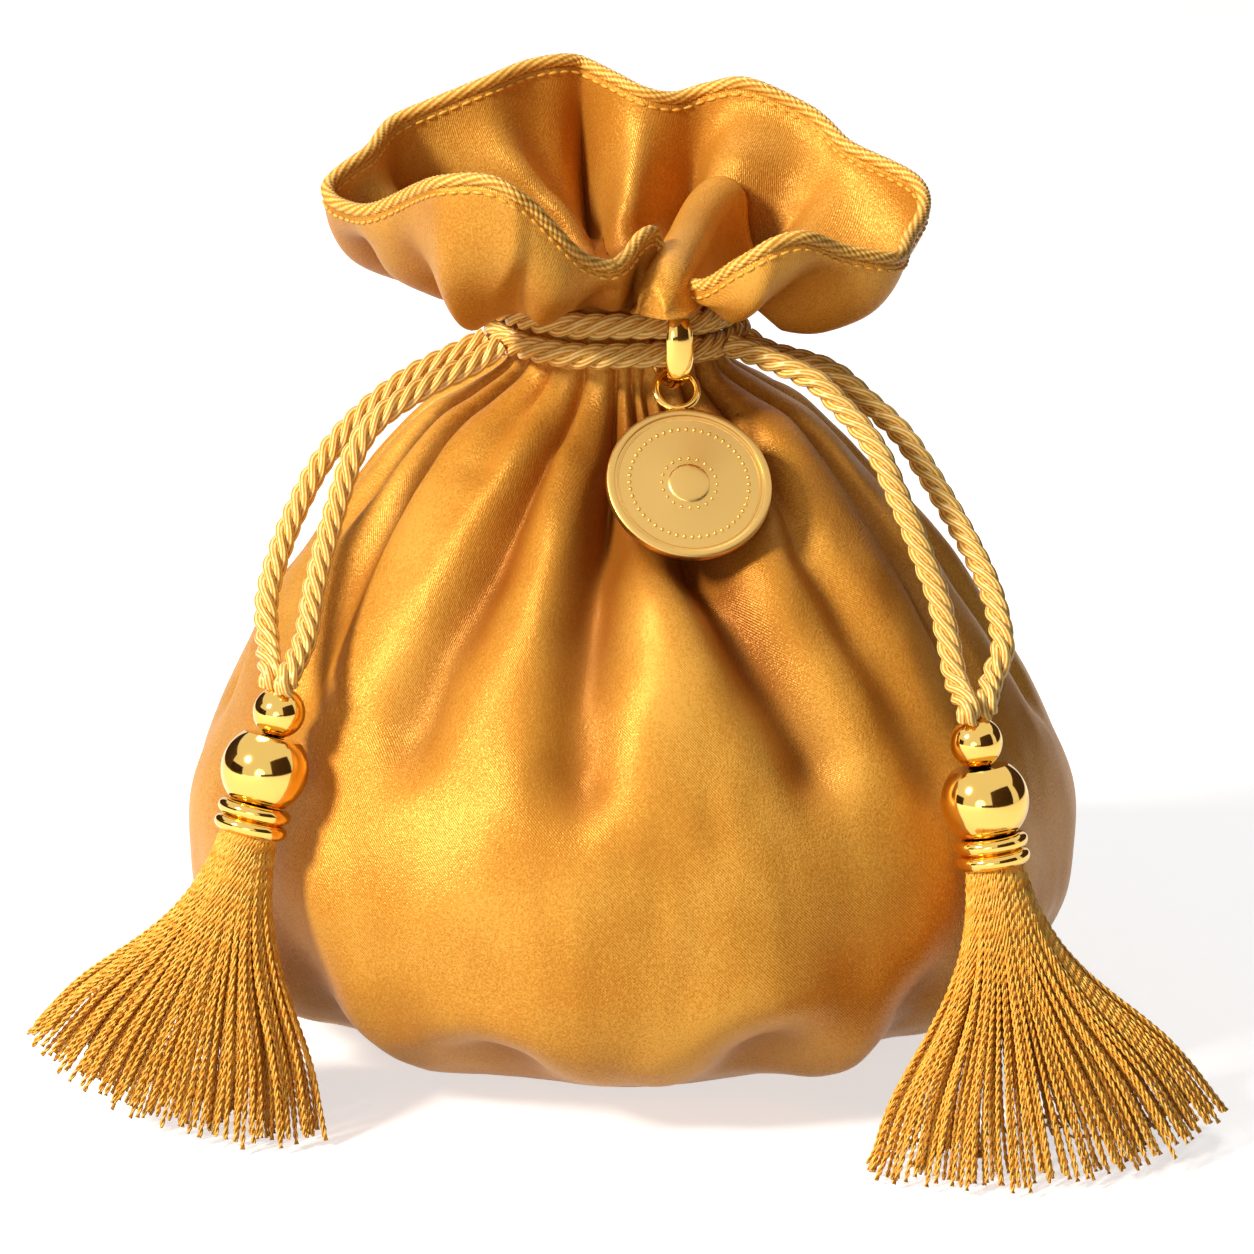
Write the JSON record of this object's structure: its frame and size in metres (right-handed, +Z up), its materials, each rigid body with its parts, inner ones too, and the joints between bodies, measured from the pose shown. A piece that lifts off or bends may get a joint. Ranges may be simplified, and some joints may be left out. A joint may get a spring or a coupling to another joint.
{
  "type": "drawstring pouch",
  "caption": "Round gathered satin drawstring pouch with a flared frill, beaded cords that end in tassels, and a round charm hung at the neck.",
  "frame": {"origin": "centre of the flat foot that the bag stands on", "axes": "+Z up through the neck, -Y is the front with the charm, +X is the viewer's right"},
  "size_m": [0.2638, 0.224, 0.2165],
  "materials": {
    "satin": "gold satin weave, crushed",
    "piping": "thread-wrapped edge cord with a stitch line",
    "rope": "three-strand twisted silk cord",
    "thread": "twisted rayon yarn fringe",
    "polished_gold": "polished gold plate",
    "brushed_gold": "fine matte gold plate"
  },
  "bodies": {
    "bag": {"pouch": "satin", "rim_piping": "piping", "left_drawcord_turn": "rope", "right_drawcord_turn": "rope", "bail": "polished_gold", "left_back_leg": "rope", "left_front_leg": "rope", "right_front_leg": "rope", "right_back_leg": "rope"},
    "charm": {"charm": "brushed_gold"},
    "left_tassel": {"left_end_bead": "polished_gold", "left_ferrule": "polished_gold", "left_tassel_core": "rope", "left_tassel_skirt": "thread"},
    "right_tassel": {"right_end_bead": "polished_gold", "right_ferrule": "polished_gold", "right_tassel_core": "rope", "right_tassel_skirt": "thread"},
    "left_ball": {"left_ball_bead": "polished_gold"},
    "right_ball": {"right_ball_bead": "polished_gold"}
  },
  "joints": [
    {"name": "charm_swing", "type": "hinge", "parent": "bag", "child": "charm", "pos_m": [0.00881, -0.02705, 0.15857], "axis": [-0.9848, -0.1736, 0], "range_deg": [0, 70]},
    {"name": "left_tassel_swing", "type": "hinge", "parent": "bag", "child": "left_tassel", "pos_m": [-0.07713, -0.06712, 0.09193], "axis": [-0.6652, 0.7466, 0], "range_deg": [0, 50]},
    {"name": "right_tassel_swing", "type": "hinge", "parent": "bag", "child": "right_tassel", "pos_m": [0.07413, -0.07354, 0.08702], "axis": [-0.6972, -0.7169, 0], "range_deg": [0, 50]},
    {"name": "left_ball_spin", "type": "hinge", "parent": "left_tassel", "child": "left_ball", "pos_m": [-0.08026, -0.0699, 0.07979], "axis": [-0.2431, -0.2166, -0.9455], "continuous": true},
    {"name": "right_ball_spin", "type": "hinge", "parent": "right_tassel", "child": "right_ball", "pos_m": [0.07604, -0.0754, 0.07445], "axis": [0.149, -0.1449, -0.9781], "continuous": true}
  ]
}
